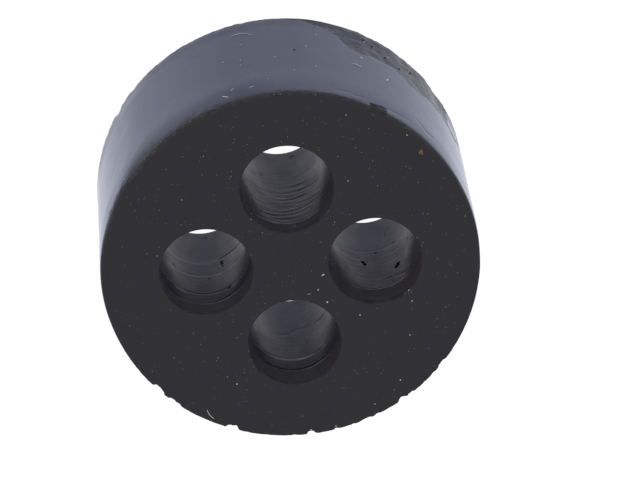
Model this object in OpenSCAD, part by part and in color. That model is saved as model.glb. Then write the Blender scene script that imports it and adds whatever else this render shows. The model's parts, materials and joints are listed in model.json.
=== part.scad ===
// Cable gland sealing insert: a round rubber plug, moulded as one piece, with parallel bores for cables.
// It stands on its rear face. The origin is under its centre and the bores run along +Z.
// Azimuths are in degrees, anticlockwise from +X as the front face is seen.

/* [Body] */
// Diameter of the outer wall
body_d = 20; // [18:0.1:30]
// Height from the rear face to the front face
body_h = 10; // [6:0.1:20]
// Radius of the moulded edge round the front face
front_edge_r = 0.2; // [0.1:0.01:0.6]
// Radius of the crisper edge round the rear face
rear_edge_r = 0.05; // [0.03:0.01:0.4]

/* [Cable bores] */
// Number of bores, evenly spaced round the pattern circle
bore_count = 4; // [2:1:4]
// Diameter of each bore
bore_d = 4.9; // [2:0.1:5.6]
// Diameter of the circle through the bores' centres
bore_pcd = 8.9; // [8.6:0.1:11]
// Radius of the edge at each bore's mouths
mouth_r = 0.08; // [0.05:0.01:0.2]

/* [Trimmed rear rim] */
// Azimuth of the middle of the stretch where the moulding flash was trimmed off
trim_azimuth = 43; // [0:1:359]
// Angle that the trimmed stretch spans at the rear face
trim_span = 56; // [30:1:90]
// Depth of the trimmed stretch at the rear face
trim_depth = 0.1; // [0.06:0.01:0.25]
// Height at which the trimmed stretch runs out into the wall
trim_height = 3.3; // [2:0.1:5]

/* [Torn rims] */
// How far a tear reaches down the wall from its face
tear_height = 0.6; // [0.2:0.05:1]

/* [Hidden] */
$fn = 128;
// What a cutter reaches past the face that it cuts
over = 1;

body_r = body_d / 2;
bore_r = bore_d / 2;
bore_pitch_r = bore_pcd / 2;

// Tears in the front rim, where flash came away: azimuth, width and depth into the face
front_tears = [
    [62, 0.75, 0.2],
    [222.2, 0.62, 0.28],
    [228.3, 0.75, 0.17],
    [249.1, 0.6, 0.3],
    [273.6, 0.42, 0.28],
    [290.8, 0.9, 0.12],
    [304.2, 0.48, 0.25],
    [307.4, 0.45, 0.15],
    [321, 0.7, 0.17]
];

// Tears in the rear rim, in the same form
rear_tears = [
    [148.5, 0.6, 0.1]
];

// What a rounded edge of radius r takes off a square corner that points to +X and +Y
module corner_waste(r) {
    difference() {
        square(r + over);
        circle(r);
    }
}

// The plug before its bores are opened: one revolved section with its two moulded edges
module plug() {
    rotate_extrude()
        difference() {
            square([body_r, body_h]);
            translate([body_r - front_edge_r, body_h - front_edge_r])
                corner_waste(front_edge_r);
            translate([body_r - rear_edge_r, rear_edge_r])
                mirror([0, 1])
                    corner_waste(rear_edge_r);
        }
}

// Half of one bore's cutter, from mid height up past a face, with the mouth's rounded edge
module half_bore() {
    half_h = body_h / 2;
    rotate_extrude() {
        square([bore_r, half_h - mouth_r]);
        translate([0, half_h - mouth_r])
            difference() {
                square([bore_r + mouth_r, mouth_r + over]);
                translate([bore_r + mouth_r, 0])
                    circle(mouth_r);
            }
    }
}

// The cutter of one bore, which opens at both faces alike
module bore() {
    translate([0, 0, body_h / 2]) {
        half_bore();
        mirror([0, 0, 1])
            half_bore();
    }
}

// The cutter of the trimmed stretch: what lies outside a cone that stands off centre
module trim() {
    // The cone's axis is moved away from the stretch until it meets the wall at both ends of the span
    offset_r = trim_depth / (1 - cos(trim_span / 2));
    foot_r = body_r - trim_depth + offset_r;
    rotate(trim_azimuth)
        difference() {
            translate([0, 0, -over])
                cylinder(r = body_r + over, h = trim_height + over);
            translate([-offset_r, 0, -over])
                cylinder(
                    r1 = foot_r - trim_depth * over / trim_height,
                    r2 = foot_r + trim_depth * (trim_height + over) / trim_height,
                    h = trim_height + 2 * over
                );
        }
}

// The cutter of one tear in the rim of the upper face: a wedge that leans out down the wall
module tear(azimuth, width, depth) {
    lean = tear_height / depth;
    rotate(azimuth)
        translate([body_r - depth, width / 2, body_h])
            rotate([90, 0, 0])
                linear_extrude(width)
                    polygon([[0, 0], [0, over], [depth + over, over], [depth + over, -lean * (depth + over)]]);
}

module sealing_insert() {
    color("#333336")
        difference() {
            plug();
            for (i = [0 : bore_count - 1])
                rotate(i * 360 / bore_count)
                    translate([bore_pitch_r, 0, 0])
                        bore();
            trim();
            for (t = front_tears)
                tear(t[0], t[1], t[2]);
            translate([0, 0, body_h])
                mirror([0, 0, 1])
                    for (t = rear_tears)
                        tear(t[0], t[1], t[2]);
        }
}

sealing_insert();
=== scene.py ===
"""Dresses the cable gland sealing insert: a black rubber plug with four bores, torn rims and dust."""

import json
import math
import random

import bpy
import numpy as np
from mathutils import Euler, Matrix, Vector, noise

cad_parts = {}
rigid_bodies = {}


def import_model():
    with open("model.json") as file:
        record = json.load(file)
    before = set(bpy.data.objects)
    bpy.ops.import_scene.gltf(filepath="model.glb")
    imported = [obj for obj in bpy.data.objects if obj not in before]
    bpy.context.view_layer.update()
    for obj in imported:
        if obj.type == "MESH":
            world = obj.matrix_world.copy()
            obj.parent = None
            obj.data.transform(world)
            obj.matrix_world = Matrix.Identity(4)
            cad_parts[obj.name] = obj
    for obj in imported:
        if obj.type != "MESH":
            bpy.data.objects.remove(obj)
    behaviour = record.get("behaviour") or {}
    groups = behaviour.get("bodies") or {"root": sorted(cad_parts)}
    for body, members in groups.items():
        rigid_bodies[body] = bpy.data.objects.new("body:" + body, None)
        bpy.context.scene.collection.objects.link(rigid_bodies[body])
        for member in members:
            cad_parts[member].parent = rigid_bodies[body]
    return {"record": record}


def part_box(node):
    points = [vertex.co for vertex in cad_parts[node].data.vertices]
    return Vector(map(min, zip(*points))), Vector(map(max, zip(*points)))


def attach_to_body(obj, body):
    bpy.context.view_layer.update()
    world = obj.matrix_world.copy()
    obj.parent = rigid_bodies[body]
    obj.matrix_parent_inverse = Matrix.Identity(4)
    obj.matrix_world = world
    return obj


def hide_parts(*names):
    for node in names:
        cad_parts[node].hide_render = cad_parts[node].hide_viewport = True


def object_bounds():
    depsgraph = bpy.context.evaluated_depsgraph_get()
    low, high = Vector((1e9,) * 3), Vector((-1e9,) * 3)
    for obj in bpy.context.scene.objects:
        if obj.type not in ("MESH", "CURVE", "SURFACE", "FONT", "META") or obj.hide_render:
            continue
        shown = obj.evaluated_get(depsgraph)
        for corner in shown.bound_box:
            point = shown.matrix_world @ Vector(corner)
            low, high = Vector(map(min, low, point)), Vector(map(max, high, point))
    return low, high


MM = 0.001

# Camera: where it stands, how it is turned, its lens and its sensor, as the photograph was taken
CAMERA_PLACE_MM = (-6.549, 101.63, 222.739)
CAMERA_TURN_DEG = (-25.076, -3.413, -2.6)
CAMERA_LENS_MM = 253.125
CAMERA_SENSOR_MM = 36.0

# Light: how bright the surroundings are for the eye and its mirror images, and for plain lighting
SEEN_WHITE = 1.0
SKY_LIGHT = 0.6
FLOOR_GLOW = 0.97
FLOOR_SHADE = 0.12
FLOOR_HALF_MM = 3000
LAMP_WATTS = 4.0
LAMP_WIDTH = 0.8

# Mesh: columns round the plug and round each bore
PLUG_COLUMNS = 512
BORE_COLUMNS = 112
# How much closer the bores' columns stand on the side that the photograph shows
BORE_CROWDING = 0.38
# Rows of the wall's mesh: first height, last height and spacing in mm; the top ones end at the front edge
WALL_LOW_ROWS = (0.15, 4.0, 0.1)
WALL_MIDDLE_ROWS = (4.0, 7.4, 0.28)
WALL_TOP_ROWS = (7.45, 0.075)
# Rows of a bore's mesh in the same form, close where its rings show
BORE_COARSE_ROWS = (0.15, 3.4, 0.35)
BORE_CLOSE_ROWS = (3.45, 0.083)
# Rings of the end faces' mesh: how far they lie from the wall, from its front rounding and from a mouth
REAR_RINGS = (0.6, 0.35, 0.2, 0.12)
FRONT_RINGS = (0.04, 0.08, 0.13, 0.19, 0.27, 0.4)
BORE_RINGS = (0.15, 0.05)
# Points closer than this are welded, in metres
WELD = 0.000001
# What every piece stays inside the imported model's box, in mm
BOX_GAP = 0.000001
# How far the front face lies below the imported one, which leaves room for the dust on it, in mm
DUST_ROOM = 0.02

# Tears in the front rim: azimuth in degrees, width and depth in mm
FRONT_TEARS = (
    (60.6, 0.75, 0.13), (59.6, 1.1, 0.075), (58.4, 0.9, 0.035), (222.0, 0.62, 0.28), (223.5, 0.3, 0.21),
    (227.8, 0.4, 0.15), (229.2, 0.75, 0.11), (249.1, 0.6, 0.3), (268.4, 0.22, 0.08),
    (273.6, 0.42, 0.25), (281.4, 0.2, 0.14), (286.9, 0.2, 0.08), (290.4, 0.3, 0.1), (291.7, 0.36, 0.1),
    (294.9, 0.25, 0.09), (304.1, 0.4, 0.22), (307.4, 0.4, 0.11), (312.9, 0.2, 0.07), (316.9, 0.3, 0.08),
    (321.0, 0.6, 0.13),
)
# The dent in the rear rim, in the same form
REAR_TEARS = ((148.8, 0.55, 0.1),)
# How far along the wall they reach
TEAR_HEIGHT = 0.6
# How far inside the wall the wear of a rim reaches
RIM_WIDTH = 0.5

# How far the front rim is worn round at each azimuth, and how far down the wall that reaches, in mm
FRONT_ROUNDING = (
    (0.0, 0.02), (30.0, 0.06), (48.0, 0.08), (62.0, 0.09), (72.0, 0.03), (84.0, 0.04), (92.0, 0.08),
    (100.0, 0.14), (142.0, 0.15), (150.0, 0.03), (159.0, 0.11), (172.0, 0.03), (185.0, 0.0),
    (355.0, 0.0),
)
ROUNDING_HEIGHT = 2.2
# How much crisper than its moulded radius the front edge is, from 0 to 1 for a square corner
FRONT_CRISP = (
    (0.0, 0.4), (24.0, 0.4), (50.0, 0.0), (165.0, 0.0), (195.0, 0.1), (215.0, 0.6), (255.0, 0.85),
    (300.0, 0.75), (345.0, 0.6),
)
# How far its very edge is rubbed off where it is sharper, and how far down that reaches
FRONT_EDGE = (
    (5.0, 0.0), (20.0, 0.07), (48.0, 0.06), (60.0, 0.0), (143.0, 0.0), (150.0, 0.05), (162.0, 0.1),
    (178.0, 0.0),
)
EDGE_HEIGHT = 0.6
# How ragged the front rim and the rear rim are at each azimuth, and how far along the wall that reaches
FRONT_RAGGED = (
    (40.0, 0.0), (56.0, 0.02), (70.0, 0.03), (84.0, 0.06), (105.0, 0.07), (145.0, 0.09), (156.0, 0.05),
    (175.0, 0.0), (190.0, 0.0), (215.0, 0.012), (330.0, 0.012), (345.0, 0.0),
)
REAR_RAGGED = (
    (14.0, 0.0), (24.0, 0.035), (58.0, 0.045), (68.0, 0.0), (82.0, 0.0), (92.0, 0.03), (150.0, 0.035),
    (180.0, 0.0),
)
RAGGED_HEIGHT = 0.45

# How far inside the wall its soft waves still move the end faces, and the most that it may bulge, in mm
SKIN_DEPTH = 0.6
MOST_BULGE = 0.04
# The wall's faint waist: its depth in mm, and the azimuth and half width of the stretch without it
WAIST_DEPTH = 0.018
WAIST_GAP = (55.0, 14.0)
# Depth of the wall's coarse and fine grain
WALL_GRAIN = (0.006, 0.002)
# Shallow bulges and hollows that run up the wall: azimuth, half width in degrees and height in mm
WALL_WAVES = (
    (22.0, 7.0, -0.035), (56.0, 8.0, -0.02), (105.0, 6.0, -0.012), (141.0, 9.0, 0.06),
    (164.0, 7.0, -0.025),
)

# Creases of the wall as paths of azimuth and height, with their width and depth in mm
CREASES = (
    (((44.6, 8.1), (43.4, 8.45), (41.4, 8.72), (38.6, 8.6)), 0.18, 0.02),
    (((50.0, 9.0), (53.0, 9.2), (56.0, 9.22)), 0.24, 0.009),
    (((62.2, 9.62), (61.2, 9.56), (60.0, 9.5), (58.8, 9.34), (57.6, 9.37)), 0.14, 0.09),
    (((65.0, 9.15), (68.0, 9.3)), 0.16, 0.012),
    (((69.5, 9.1), (73.0, 9.2)), 0.16, 0.012),
    (((100.0, 6.2), (98.0, 6.25)), 0.09, 0.01),
    (((99.4, 6.85), (97.6, 6.8)), 0.09, 0.01),
    (((98.9, 7.35), (97.2, 7.3)), 0.09, 0.01),
    (((148.2, 0.4), (147.6, 2.0), (145.8, 3.6)), 0.5, 0.01),
)

# The stretch of the rear rim where flash was pulled off: how high it reaches at each azimuth, in mm
TORN_BAND = (
    (-2.0, 0.0), (4.0, 0.5), (10.0, 1.3), (16.4, 2.2), (20.0, 2.9), (23.5, 2.8), (27.0, 2.75),
    (35.0, 3.1), (41.0, 3.3), (44.2, 3.6), (46.6, 3.2), (50.0, 2.9), (56.5, 2.8), (64.6, 3.2),
    (68.0, 2.7), (70.5, 1.6), (74.0, 1.1), (80.0, 0.5), (88.0, 0.0),
)
# How deep it is at the rear face
TORN_DEPTH = (
    (0.0, 0.0), (5.0, 0.03), (12.0, 0.03), (25.0, 0.01), (27.0, 0.03), (30.0, 0.08), (33.0, 0.05),
    (37.5, 0.0), (39.5, 0.02), (47.0, 0.05), (50.0, 0.03), (54.0, 0.0), (57.0, 0.01), (60.0, 0.03),
    (62.5, 0.0), (65.0, 0.02), (71.0, 0.03), (78.0, 0.0),
)
# The step at its upper edge
TORN_STEP = 0.014
# Depth of the coarse and fine grain of its skin
TORN_GRAIN = (0.022, 0.005)
# Azimuth up to which it keeps the wall's gloss, all but a dark line of this width along its upper edge
GLOSS_END = 23.0
DARK_LINE = 0.6

# Where the core pins flare: from which height to which, and how far the step at its foot stands in, in mm
FLARES = {
    "cable_bore_1": ((8.35, 9.9, 0.04),),
    "cable_bore_2": ((8.95, 9.9, 0.04),),
    "cable_bore_3": ((3.75, 5.35, 0.009), (5.42, 7.6, 0.012), (7.65, 8.6, 0.03), (8.7, 9.9, 0.02)),
    "cable_bore_4": ((7.12, 8.38, 0.04), (8.45, 9.9, 0.03)),
}

# Rings and scores in the bores: a path of azimuth and height about the bore, then width and depth in mm
BORE_MARKS = {
    "cable_bore_1": (
        (((221.0, 5.05), (240.0, 5.15)), 0.1, 0.01),
        (((224.0, 4.43), (240.0, 4.52)), 0.1, 0.01),
        (((293.0, 4.48), (309.0, 4.58)), 0.1, 0.01),
        (((286.0, 7.35), (297.0, 7.48), (312.0, 7.81)), 0.1, 0.013),
        (((236.0, 8.2), (258.0, 8.3), (272.0, 8.36), (290.0, 8.4)), 0.09, 0.01),
        (((246.0, 3.75), (290.0, 3.7), (316.0, 3.75)), 0.16, 0.006),
    ),
    "cable_bore_2": (
        (
            ((224.0, 5.06), (246.0, 5.2), (266.0, 5.26), (285.0, 5.16), (302.0, 5.36), (320.0, 5.52)),
            0.1,
            0.0128,
        ),
        (((232.0, 5.75), (262.0, 5.7), (292.0, 5.62), (322.0, 5.9)), 0.09, 0.0067),
        (((238.0, 6.3), (256.0, 6.23), (274.0, 6.06), (298.0, 6.14), (318.0, 6.51)), 0.09, 0.0105),
        (((250.0, 6.68), (276.0, 6.6), (297.0, 6.79), (316.0, 7.08)), 0.09, 0.0112),
        (((238.0, 7.1), (262.0, 7.05), (300.0, 7.15), (312.0, 7.3)), 0.09, 0.006),
        (((240.0, 7.64), (256.0, 7.6), (275.0, 7.52), (310.0, 7.38)), 0.09, 0.0097),
        (((243.0, 8.16), (258.0, 7.97), (300.0, 7.86)), 0.09, 0.0083),
        (((248.0, 8.5), (276.0, 8.42), (306.0, 8.5)), 0.09, 0.006),
        (((262.0, 8.9), (290.0, 8.96), (302.0, 9.04)), 0.1, 0.0105),
        (((286.0, 3.54), (316.0, 3.48)), 0.12, 0.0075),
        (((275.0, 2.84), (281.0, 2.8)), 0.1, 0.02),
    ),
    "cable_bore_3": (
        (((290.0, 3.86), (296.0, 3.69), (307.0, 3.66), (325.0, 3.69)), 0.11, 0.035),
        (((215.0, 3.8), (240.0, 3.76), (265.0, 3.8), (280.0, 3.85)), 0.12, 0.01),
        (((222.0, 5.42), (246.0, 5.36), (285.0, 5.45), (296.0, 5.4)), 0.11, 0.014),
        (((226.0, 7.76), (244.0, 7.6), (286.0, 7.6), (314.0, 7.68)), 0.11, 0.02),
        (((212.0, 8.55), (229.0, 8.72), (262.0, 8.76), (297.0, 8.62), (309.0, 8.42)), 0.11, 0.018),
    ),
    "cable_bore_4": (
        (((230.0, 7.14), (265.0, 7.16), (293.0, 7.17), (308.0, 7.05)), 0.1, 0.022),
        (((232.0, 8.34), (250.0, 8.42), (279.0, 8.42), (308.0, 8.26)), 0.1, 0.022),
        (((255.0, 4.3), (267.0, 4.1), (277.0, 3.66), (293.0, 3.74)), 0.14, 0.01),
        (((308.0, 3.78), (325.0, 3.76)), 0.2, 0.02),
    ),
}

# Pits in the bores, with painted shade inside them: azimuth and height about the bore, and radius in mm
PITS = {
    "cable_bore_1": (
        (260.2, 5.08, 0.08),
        (262.2, 5.34, 0.09),
        (301.6, 6.56, 0.085),
        (303.8, 6.44, 0.09),
        (305.2, 6.3, 0.07),
        (278.0, 4.02, 0.06),
    ),
    "cable_bore_2": (),
    "cable_bore_3": ((292.4, 4.15, 0.06), (293.0, 4.38, 0.08), (293.8, 4.66, 0.07), (299.0, 7.68, 0.08)),
    "cable_bore_4": (),
}

# Dull spots in the bores, in the same form
DULL_SPOTS = {
    "cable_bore_1": ((327.0, 4.7, 0.1), (294.0, 2.0, 0.12), (304.0, 3.6, 0.11), (232.0, 3.8, 0.08)),
    "cable_bore_2": ((285.0, 0.7, 0.16), (277.5, 2.85, 0.13), (243.0, 3.05, 0.11)),
    "cable_bore_3": ((274.0, 0.75, 0.11), (227.0, 5.1, 0.1), (275.0, 5.75, 0.13)),
    "cable_bore_4": ((262.0, 2.6, 0.12), (290.0, 5.4, 0.11)),
}

# How much taller than wide a pit is, and how deep a spot is where its finish begins
PIT_STRETCH = 1.35
SPOT_LEAST = 0.03

# How much narrower in radius the bores are at the rear than at the front
BORE_DRAFT = 0.05
# The deepest chips in their front mouths
CHIP_DEPTH = 0.09

# Specks placed one by one on the front face: x, y, length, width in mm and turn in degrees
FACE_SPECKS = (
    (1.67, -0.61, 0.18, 0.06, 35.0), (1.82, -2.21, 0.09, 0.08, 0.0), (-3.18, -6.68, 0.085, 0.065, 30.0),
    (0.62, -9.7, 0.09, 0.05, 10.0), (1.37, -1.47, 0.08, 0.058, 60.0), (5.5, -7.09, 0.075, 0.06, 0.0),
    (3.51, -3.09, 0.078, 0.062, 15.0), (6.29, -2.48, 0.073, 0.057, 70.0),
    (6.38, 7.09, 0.068, 0.056, 0.0), (6.11, -4.46, 0.068, 0.056, 40.0), (-5.48, 4.25, 0.06, 0.035, 0.0),
    (4.09, -8.42, 0.055, 0.045, 0.0), (0.88, -1.67, 0.19, 0.02, 10.0), (3.27, 8.45, 0.055, 0.045, 50.0),
    (3.21, 4.7, 0.05, 0.045, 0.0), (-6.95, 1.13, 0.06, 0.04, 0.0), (1.96, -9.58, 0.09, 0.05, 120.0),
    (6.15, -1.83, 0.12, 0.035, 30.0), (9.25, 2.25, 0.013, 0.15, 0.0),
)
# Finer ones: x and y, and the seed and ranges of their random lengths and widths
FINE_SEED = 5
FINE_LENGTH = (0.018, 0.041)
FINE_WIDTH = (0.015, 0.026)
FINE_SPECKS = (
    (-1.89, 3.21), (-1.91, 2.86), (0.94, 1.93), (0.32, 2.33), (-0.37, 1.97), (2.41, 2.36),
    (-2.33, -5.3), (-2.74, -5.82), (-2.75, -6.03), (-4.2, -5.2), (-4.1, -5.05), (-7.6, -5.59),
    (-4.4, -6.79), (-5.3, -3.49), (-4.71, -3.8), (-8.2, -2.39), (-9.26, -1.94), (-8.63, -2.83),
    (-3.94, -3.02), (-8.66, 0.72), (-5.59, 2.82), (-2.06, 0.83), (-7.13, -3.36), (-6.42, -4.87),
    (-3.66, -6.21), (-0.86, -0.37), (-0.16, -0.53), (-1.8, -9.72), (9.1, 1.18), (7.3, 2.53),
    (7.05, 2.6), (6.96, 0.92), (6.69, 1.19), (8.44, -0.57), (4.44, -2.78), (5.93, -1.97), (8.53, -3.94),
    (8.06, -2.96), (5.16, -7.64), (3.23, -6.54), (3.13, -6.33), (0.19, -8.85), (-2.61, 7.31),
    (-2.57, 7.5), (-4.41, 6.4), (-4.2, 6.63), (-2.94, 5.28), (-2.85, 5.4), (-4.34, 5.59), (-5.28, 6.7),
    (-7.95, 3.81), (-1.04, 8.16), (-3.23, 8.31), (1.21, 8.11), (2.15, 8.04), (0.18, 7.44), (-6.2, 6.03),
    (-1.95, 2.88), (-1.38, 2.06), (2.75, 6.12), (4.53, 5.72), (6.46, 5.2), (6.25, 5.31), (6.87, 4.35),
    (4.73, 4.32), (3.98, 6.28), (8.85, 2.67), (3.23, 2.78), (3.32, 9.3), (-2.84, 9.42), (-4.18, 8.9),
    (-4.77, 8.66), (-6.37, 7.63), (-7.27, 6.7), (-8.14, 5.47), (-7.86, 5.98), (-9.3, 3.22),
    (-0.07, 9.86), (-0.4, 9.87), (1.64, 9.7), (1.75, 9.68), (2.36, 2.26), (2.42, 2.42), (2.55, 2.04),
    (1.99, 2.62), (-1.92, 7.14), (-0.15, 7.18), (2.1, 3.05), (1.86, 0.37), (1.99, 0.25), (7.02, 0.88),
    (6.27, -1.93), (6.13, -2.0),
)
# Specks on the wall: azimuth, height, length, width and turn, and how deep they sit in it
WALL_SPECK_DEPTH = 0.015
WALL_SPECKS = (
    (54.8, 5.08, 0.42, 0.09, 75.0), (63.1, 3.62, 0.2, 0.08, -5.0), (147.3, 9.41, 0.08, 0.06, 0.0),
    (152.7, 9.55, 0.07, 0.05, 0.0), (77.0, 2.08, 0.08, 0.06, 0.0), (78.5, 6.41, 0.08, 0.06, 0.0),
    (80.7, 3.79, 0.08, 0.06, 0.0), (100.3, 3.01, 0.07, 0.06, 0.0), (106.4, 4.7, 0.07, 0.055, 0.0),
    (90.6, 5.32, 0.06, 0.05, 0.0), (85.4, 7.14, 0.06, 0.05, 0.0), (101.0, 5.66, 0.05, 0.045, 0.0),
    (101.0, 5.0, 0.05, 0.045, 0.0), (93.5, 8.14, 0.06, 0.05, 0.0), (52.9, 1.64, 0.08, 0.07, 0.0),
    (61.2, 1.15, 0.08, 0.06, 0.0), (40.6, 0.7, 0.08, 0.08, 0.0), (32.9, 0.95, 0.07, 0.12, 20.0),
)
# Rust-coloured grains on the front face, in the form of its specks
RUST_SPECKS = (
    (7.08, 6.14, 0.13, 0.11, 70.0), (7.11, 6.07, 0.13, 0.1, 20.0), (6.99, 6.06, 0.13, 0.06, 110.0),
    (7.09, 5.97, 0.22, 0.045, 0.0),
)
# Painted shade of small pits in the wall: near-black flakes, in the form of its specks
PIT_SHADE_SPECKS = (
    (84.4, 4.4, 0.13, 0.09, 30.0), (61.3, 0.85, 0.16, 0.1, 20.0), (58.4, 1.25, 0.13, 0.1, 60.0),
    (53.9, 1.8, 0.11, 0.08, 0.0), (48.5, 2.1, 0.12, 0.09, 0.0), (43.6, 1.4, 0.14, 0.1, 30.0),
)

# Fibres as paths of azimuth, height and distance from the plug's axis, with their thickness in mm
PALE_LINT = (
    (
        ((102.9, 1.5, 9.99), (101.3, 1.46, 10.0), (99.3, 1.55, 10.0), (98.1, 1.7, 10.0), (96.6, 2.0, 9.99)),
        0.026,
    ),
    (((107.6, 8.98, 9.96), (106.0, 9.22, 9.94)), 0.05),
    (((104.9, 8.58, 9.97), (103.9, 8.43, 9.98)), 0.035),
    (((99.3, 8.86, 9.97), (98.6, 8.78, 9.97), (97.9, 8.77, 9.96)), 0.03),
)
BEIGE_LINT = (
    (((66.9, 5.05, 9.99), (65.6, 4.93, 10.01), (63.9, 5.04, 10.0)), 0.026),
    (((239.1, 9.985, 9.44), (240.7, 9.99, 9.64), (242.4, 9.985, 9.75)), 0.028),
    (((-0.6, 8.79, 6.88), (-0.15, 9.11, 6.8)), 0.024),
    (((280.5, 9.0, 6.7), (281.2, 8.68, 6.68)), 0.024),
)

# Random dust and grit: the size of their drifts, and the height under which the wall has none, in mm
DRIFT_SIZE = 2.5
CLEAN_HEIGHT = 0.9
# Their seeds, grains per square metre and smallest radii
DUST = {"Seed": 7, "Density": 0.85e6, "Smallest": 0.006 * MM}
GRIT = {"Seed": 12, "Density": 0.35e6, "Smallest": 0.008 * MM}

# Stretches of a pattern: even, drawn out up the wall, and drawn out round a bore
EVEN = (1, 1, 1)
UPRIGHT = (1, 1, 0.12)
LEVEL = (0.12, 0.12, 1)

# How strongly the fine turned lines show in each bore, in mm
TURNED_LINES = {"cable_bore_1": 0.007, "cable_bore_2": 0.014, "cable_bore_3": 0.006, "cable_bore_4": 0.005}

# The faint bluish bloom on the glossy, worn and scuffed rubber
BLOOM = {"Sheen_Roughness": 0.5, "Sheen_Tint": (0.1, 0.3, 1.0, 1.0)}

# Looks of the one rubber: its dark and light tone, the roughness of each, its clouds, bumps and gloss.
# Clouds are a size in mm and a stretch, and each bump is a size and a depth in mm and a stretch.
RUBBER_LOOKS = {
    "wall": {
        "dark": (0.008, 0.008, 0.009),
        "light": (0.036, 0.036, 0.037),
        "dull": (0.03, 0.08),
        "clouds": (2.2, UPRIGHT),
        "bumps": ((0.35, 0.002, UPRIGHT), (1.1, 0.006, EVEN)),
        "IOR": 1.3,
        "Sheen_Weight": 0.35,
        **BLOOM,
    },
    "bore": {
        "dark": (0.007, 0.007, 0.015),
        "light": (0.022, 0.022, 0.036),
        "dull": (0.25, 0.39),
        "clouds": (0.9, (1, 1, 0.6)),
        "bumps": ((0.05, 0.004, LEVEL), (0.16, 0.006, LEVEL), (0.9, 0.008, EVEN)),
        "IOR": 1.25,
        "Specular_Tint": (0.0, 0.05, 1.0, 1.0),
    },
    "mouth": {
        "dark": (0.036, 0.032, 0.042),
        "light": (0.058, 0.053, 0.066),
        "dull": (0.4, 0.6),
        "clouds": (0.7, (1, 1, 0.6)),
        "bumps": ((0.16, 0.006, LEVEL),),
        "IOR": 1.2,
    },
    "face": {
        "dark": (0.026, 0.026, 0.031),
        "light": (0.029, 0.029, 0.034),
        "dull": (0.58, 0.7),
        "clouds": (4.0, EVEN),
        "bumps": ((0.09, 0.004, EVEN),),
        "IOR": 1.5,
        "Specular_IOR_Level": 0.2,
    },
    "worn": {
        "dark": (0.026, 0.026, 0.029),
        "light": (0.05, 0.05, 0.053),
        "dull": (0.28, 0.42),
        "clouds": (0.3, EVEN),
        "bumps": ((0.2, 0.01, EVEN),),
        "IOR": 1.26,
        "Sheen_Weight": 0.14,
        **BLOOM,
    },
    "torn": {
        "dark": (0.022, 0.022, 0.022),
        "light": (0.034, 0.034, 0.034),
        "dull": (0.55, 0.7),
        "clouds": (0.4, EVEN),
        "bumps": ((0.14, 0.01, EVEN),),
        "IOR": 1.22,
    },
    "scuffed": {
        "dark": (0.003, 0.003, 0.005),
        "light": (0.02, 0.02, 0.022),
        "dull": (0.18, 0.34),
        "clouds": (0.8, (1, 1, 0.5)),
        "bumps": ((0.6, 0.016, EVEN), (0.18, 0.003, EVEN)),
        "IOR": 1.19,
        "Sheen_Weight": 0.15,
        **BLOOM,
    },
    # Painted shade: this near-black finish darkens the insides of the bores' pits
    "pit_shade": {
        "dark": (0.002, 0.002, 0.003),
        "light": (0.004, 0.004, 0.005),
        "dull": (0.8, 0.9),
        "clouds": (0.2, EVEN),
        "bumps": ((0.1, 0.01, EVEN),),
        "Specular_IOR_Level": 0.05,
    },
}

# Looks of the dirt, and of the near-black painted shade in the wall's pits: its dark and light tone, and
# the size of its mottling in mm
DIRT_LOOKS = {
    "pale_dust": ((0.6, 0.6, 0.6), (0.82, 0.82, 0.82), 0.02),
    # Near black: the random grit, and also the painted shade in the wall's pits
    "grit_and_pit_shade": ((0.003, 0.003, 0.004), (0.008, 0.008, 0.009), 0.05),
    "rust": ((0.13, 0.07, 0.035), (0.42, 0.25, 0.15), 0.07),
    "beige_fibre": ((0.74, 0.66, 0.48), (0.94, 0.88, 0.7), 0.05),
}


def read_sizes(frame):
    """The plug's sizes in mm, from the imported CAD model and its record."""
    low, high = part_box("sealing_insert")
    mounts = {m["name"]: m for m in frame["record"]["mounts"]}
    bores = {name: m for name, m in sorted(mounts.items()) if name.startswith("cable_bore")}
    one_bore = next(iter(bores.values()))
    wall = mounts["outer_wall"]
    wall_middle = wall["pos_m"][2] / MM
    wall_half = wall["dims"]["length_mm"] / 2
    height = (high.z - low.z) / MM
    return {
        "radius": (high.x - low.x) / 2 / MM,
        "height": height - DUST_ROOM,
        "bore_radius": one_bore["dims"]["r_mm"],
        "mouth": (height - one_bore["dims"]["length_mm"]) / 2,
        "rear_edge": wall_middle - wall_half,
        "front_edge": height - wall_middle - wall_half,
        "bores": {name: Vector(m["pos_m"]) / MM for name, m in bores.items()},
    }


def rounded(centre, radius, start, end, steps):
    """Points of a rounded corner in a section, between two angles in degrees."""
    turns = np.radians(np.linspace(start, end, steps + 1))
    return [(centre[0] + radius * math.cos(t), centre[1] + radius * math.sin(t)) for t in turns]


def plug_section(sizes):
    """Section of the outer skin, from the rear face up the wall to the front face."""
    radius, height = sizes["radius"], sizes["height"]
    rear, front = sizes["rear_edge"], sizes["front_edge"]
    top_start, top_spacing = WALL_TOP_ROWS
    points = [(radius - d, 0.0) for d in REAR_RINGS]
    points += rounded((radius - rear, rear), rear, -90, 0, steps=3)
    top = np.arange(top_start, height - front - 0.03, top_spacing)
    points += [(radius, z) for z in (*np.arange(*WALL_LOW_ROWS), *np.arange(*WALL_MIDDLE_ROWS), *top)]
    points += rounded((radius - front, height - front), front, 0, 90, steps=6)
    points += [(radius - front - d, height) for d in FRONT_RINGS]
    return points


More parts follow.
